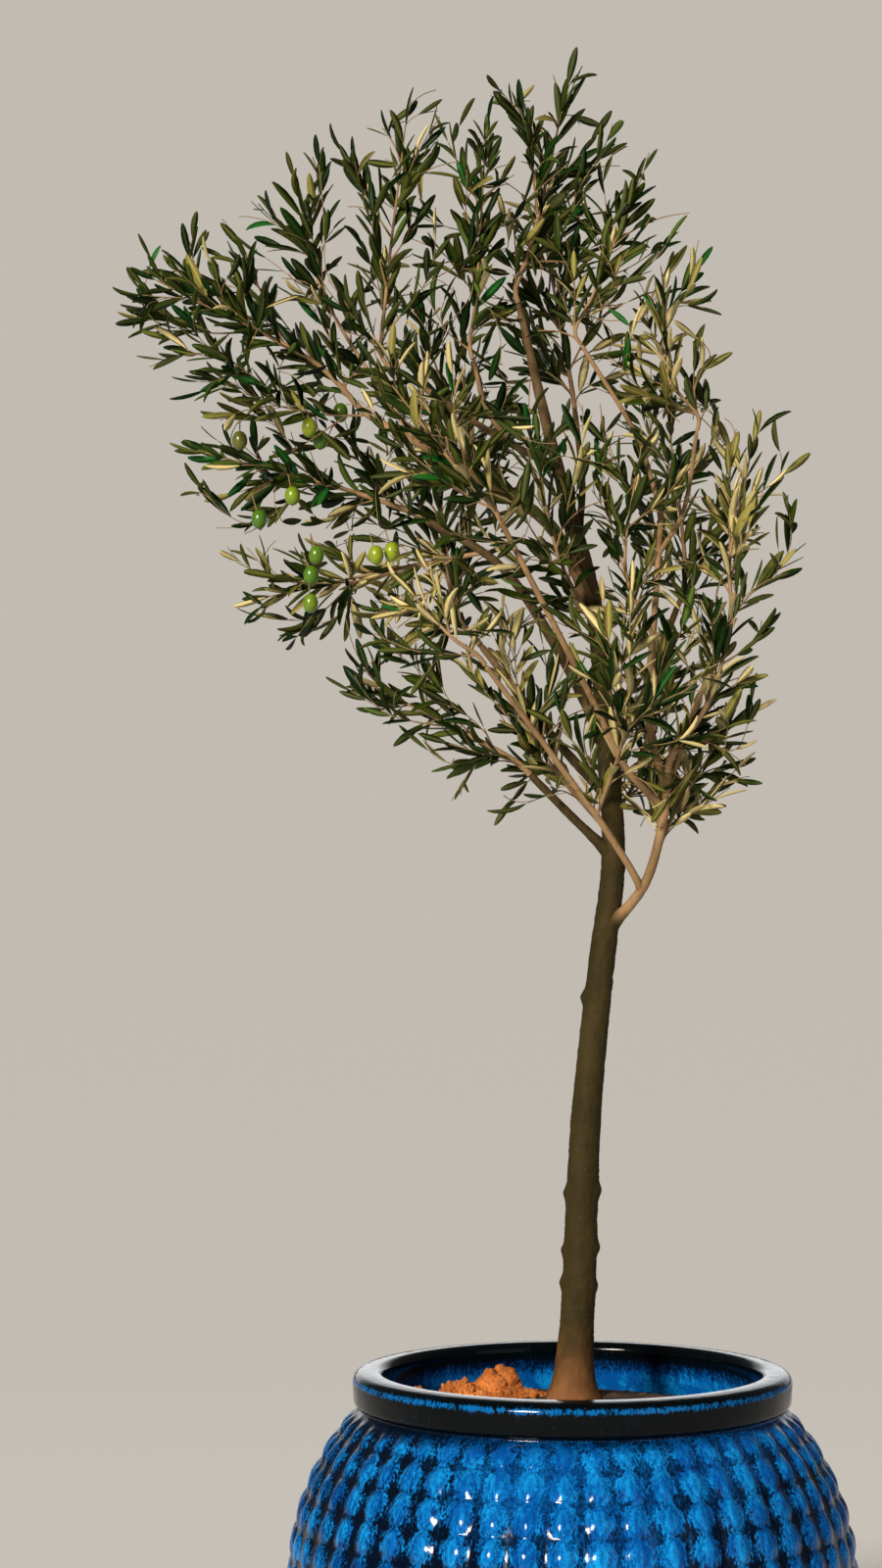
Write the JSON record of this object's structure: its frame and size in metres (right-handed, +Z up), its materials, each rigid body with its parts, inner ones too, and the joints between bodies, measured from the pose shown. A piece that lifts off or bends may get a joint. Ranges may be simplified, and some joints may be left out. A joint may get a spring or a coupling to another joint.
{
  "type": "potted olive tree",
  "caption": "Young olive tree with a slim leaning trunk and a loose, airy crown of narrow grey-green leaves, planted in a round dimpled blue glazed pot.",
  "frame": {"origin": "centre of the pot's flat underside, where it stands on the ground", "axes": "+Z up along the trunk; -Y towards the side the picture was taken from, whose left is -X, towards which the crown leans"},
  "size_m": [0.9207, 0.6896, 2.1711],
  "materials": {
    "glaze": "gloss",
    "soil": "rough",
    "clay": "rough",
    "bark": "rough",
    "young_bark": "satin",
    "foliage": "satin"
  },
  "bodies": {
    "root": {"pot": "glaze", "soil": "soil", "clod_large": "clay", "clod_left": "clay", "clod_far_left": "clay", "clod_near_trunk": "clay", "trunk": "bark", "bough_right": "young_bark", "bough_tall_right": "young_bark", "bough_tall_front": "young_bark", "bough_high_right": "young_bark", "bough_far_right": "young_bark", "bough_crossing": "young_bark", "bough_long_left": "young_bark", "bough_low_left": "young_bark", "bough_left": "young_bark", "bough_inner_left": "young_bark", "bough_upper_left": "young_bark", "bough_upper_mid": "young_bark", "bough_back_left": "young_bark", "bough_back_right": "young_bark", "bough_back_high": "young_bark", "foliage_far_left": "foliage", "foliage_upper_left": "foliage", "foliage_top_left": "foliage", "foliage_top_mid": "foliage", "foliage_top_centre": "foliage", "foliage_top_right": "foliage", "foliage_right_high": "foliage", "foliage_centre_right": "foliage", "foliage_far_right": "foliage", "foliage_right_side": "foliage", "foliage_right_low": "foliage", "foliage_low_centre": "foliage", "foliage_front_low": "foliage", "foliage_low_left": "foliage", "foliage_mid_low": "foliage", "foliage_centre": "foliage", "foliage_front_left": "foliage", "foliage_inner_left": "foliage", "foliage_left_low": "foliage", "foliage_olives": "foliage", "foliage_back_left": "foliage", "foliage_back_right": "foliage", "foliage_back_high": "foliage", "foliage_back_low": "foliage"}
  },
  "joints": []
}
